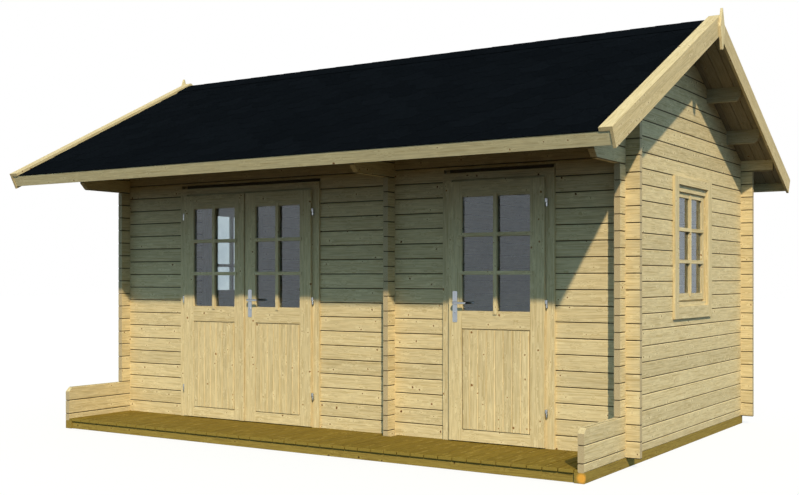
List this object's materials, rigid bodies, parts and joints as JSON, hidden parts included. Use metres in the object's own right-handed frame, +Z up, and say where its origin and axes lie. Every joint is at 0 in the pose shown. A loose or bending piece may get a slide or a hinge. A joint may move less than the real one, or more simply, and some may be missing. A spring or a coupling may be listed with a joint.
{
  "type": "garden log cabin",
  "caption": "Gabled garden log cabin of crossed square logs, with two rooms, an open front veranda, a glazed single door, a glazed double door and gable windows.",
  "frame": {"origin": "ground level at the centre of the 4.8 x 3.5 m footprint, straight under the ridge", "axes": "+X along the front to the right as seen from outside, +Y from the veranda to the back wall, +Z up"},
  "size_m": [5.456, 4.2088, 3.294],
  "materials": {
    "wall_logs": "planed untreated spruce logs",
    "foundation_timber": "pressure-treated timber",
    "deck_boards": "pressure-treated boards",
    "floor_boards": "planed spruce boards",
    "roof_boards": "planed spruce boards",
    "roof_felt": "bitumen felt shingles with mineral grit",
    "roof_trim": "planed spruce boards",
    "joinery": "planed spruce joinery",
    "door_leaves": "planed spruce joinery",
    "glazing": "clear float glass",
    "door_metal": "satin nickel-plated steel"
  },
  "bodies": {
    "cabin": {"back_wall": "wall_logs", "back_wall_plate": "wall_logs", "barge_boards": "roof_trim", "cap_boards": "roof_trim", "door_heads": "joinery", "door_jambs": "joinery", "door_sills": "joinery", "fascia_boards": "roof_trim", "finials": "roof_trim", "foundation_cross_beams": "foundation_timber", "foundation_side_beams": "foundation_timber", "front_wall_left": "wall_logs", "front_wall_middle": "wall_logs", "front_wall_over_doors": "wall_logs", "front_wall_right": "wall_logs", "hinge_halves_on_frames": "door_metal", "left_gable_below_window": "wall_logs", "left_gable_beside_window": "wall_logs", "left_gable_rail_logs": "wall_logs", "left_gable_top": "wall_logs", "partition_top": "wall_logs", "partition_wall": "wall_logs", "purlins": "wall_logs", "ridge_strip": "roof_felt", "right_gable_below_window": "wall_logs", "right_gable_beside_window": "wall_logs", "right_gable_rail_logs": "wall_logs", "right_gable_top": "wall_logs", "roof_boards": "roof_boards", "room_floors": "floor_boards", "shingles": "roof_felt", "veranda_deck": "deck_boards", "veranda_joists": "foundation_timber", "window_frames": "joinery", "window_glass": "glazing", "window_sashes": "joinery"},
    "single_leaf": {"single_door_leaf": "door_leaves", "single_door_glass": "glazing", "single_door_hardware": "door_metal"},
    "single_lever": {"single_door_lever": "door_metal"},
    "left_leaf": {"double_door_left_leaf": "door_leaves", "double_door_left_glass": "glazing", "double_door_left_hardware": "door_metal"},
    "right_leaf": {"double_door_right_leaf": "door_leaves", "double_door_right_glass": "glazing", "double_door_right_hardware": "door_metal"},
    "right_lever": {"double_door_lever": "door_metal"}
  },
  "joints": [
    {"name": "single_door_hinge", "type": "hinge", "parent": "cabin", "child": "single_leaf", "pos_m": [1.829, -1.085, 1], "axis": [0, 0, 1], "range_deg": [0, 120]},
    {"name": "single_door_lever_turn", "type": "hinge", "parent": "single_leaf", "child": "single_lever", "pos_m": [1.09, -1.085, 1.108], "axis": [0, 1, 0], "range_deg": [0, 40], "stiffness_Nm_per_rad": 0.6, "springref_deg": -34.38},
    {"name": "double_door_left_hinge", "type": "hinge", "parent": "cabin", "child": "left_leaf", "pos_m": [-1.655, -1.085, 1], "axis": [0, 0, -1], "range_deg": [0, 120]},
    {"name": "double_door_right_hinge", "type": "hinge", "parent": "cabin", "child": "right_leaf", "pos_m": [-0.239, -1.085, 1], "axis": [0, 0, 1], "range_deg": [0, 120]},
    {"name": "double_door_lever_turn", "type": "hinge", "parent": "right_leaf", "child": "right_lever", "pos_m": [-0.889, -1.085, 1.108], "axis": [0, 1, 0], "range_deg": [0, 40], "stiffness_Nm_per_rad": 0.6, "springref_deg": -34.38}
  ]
}
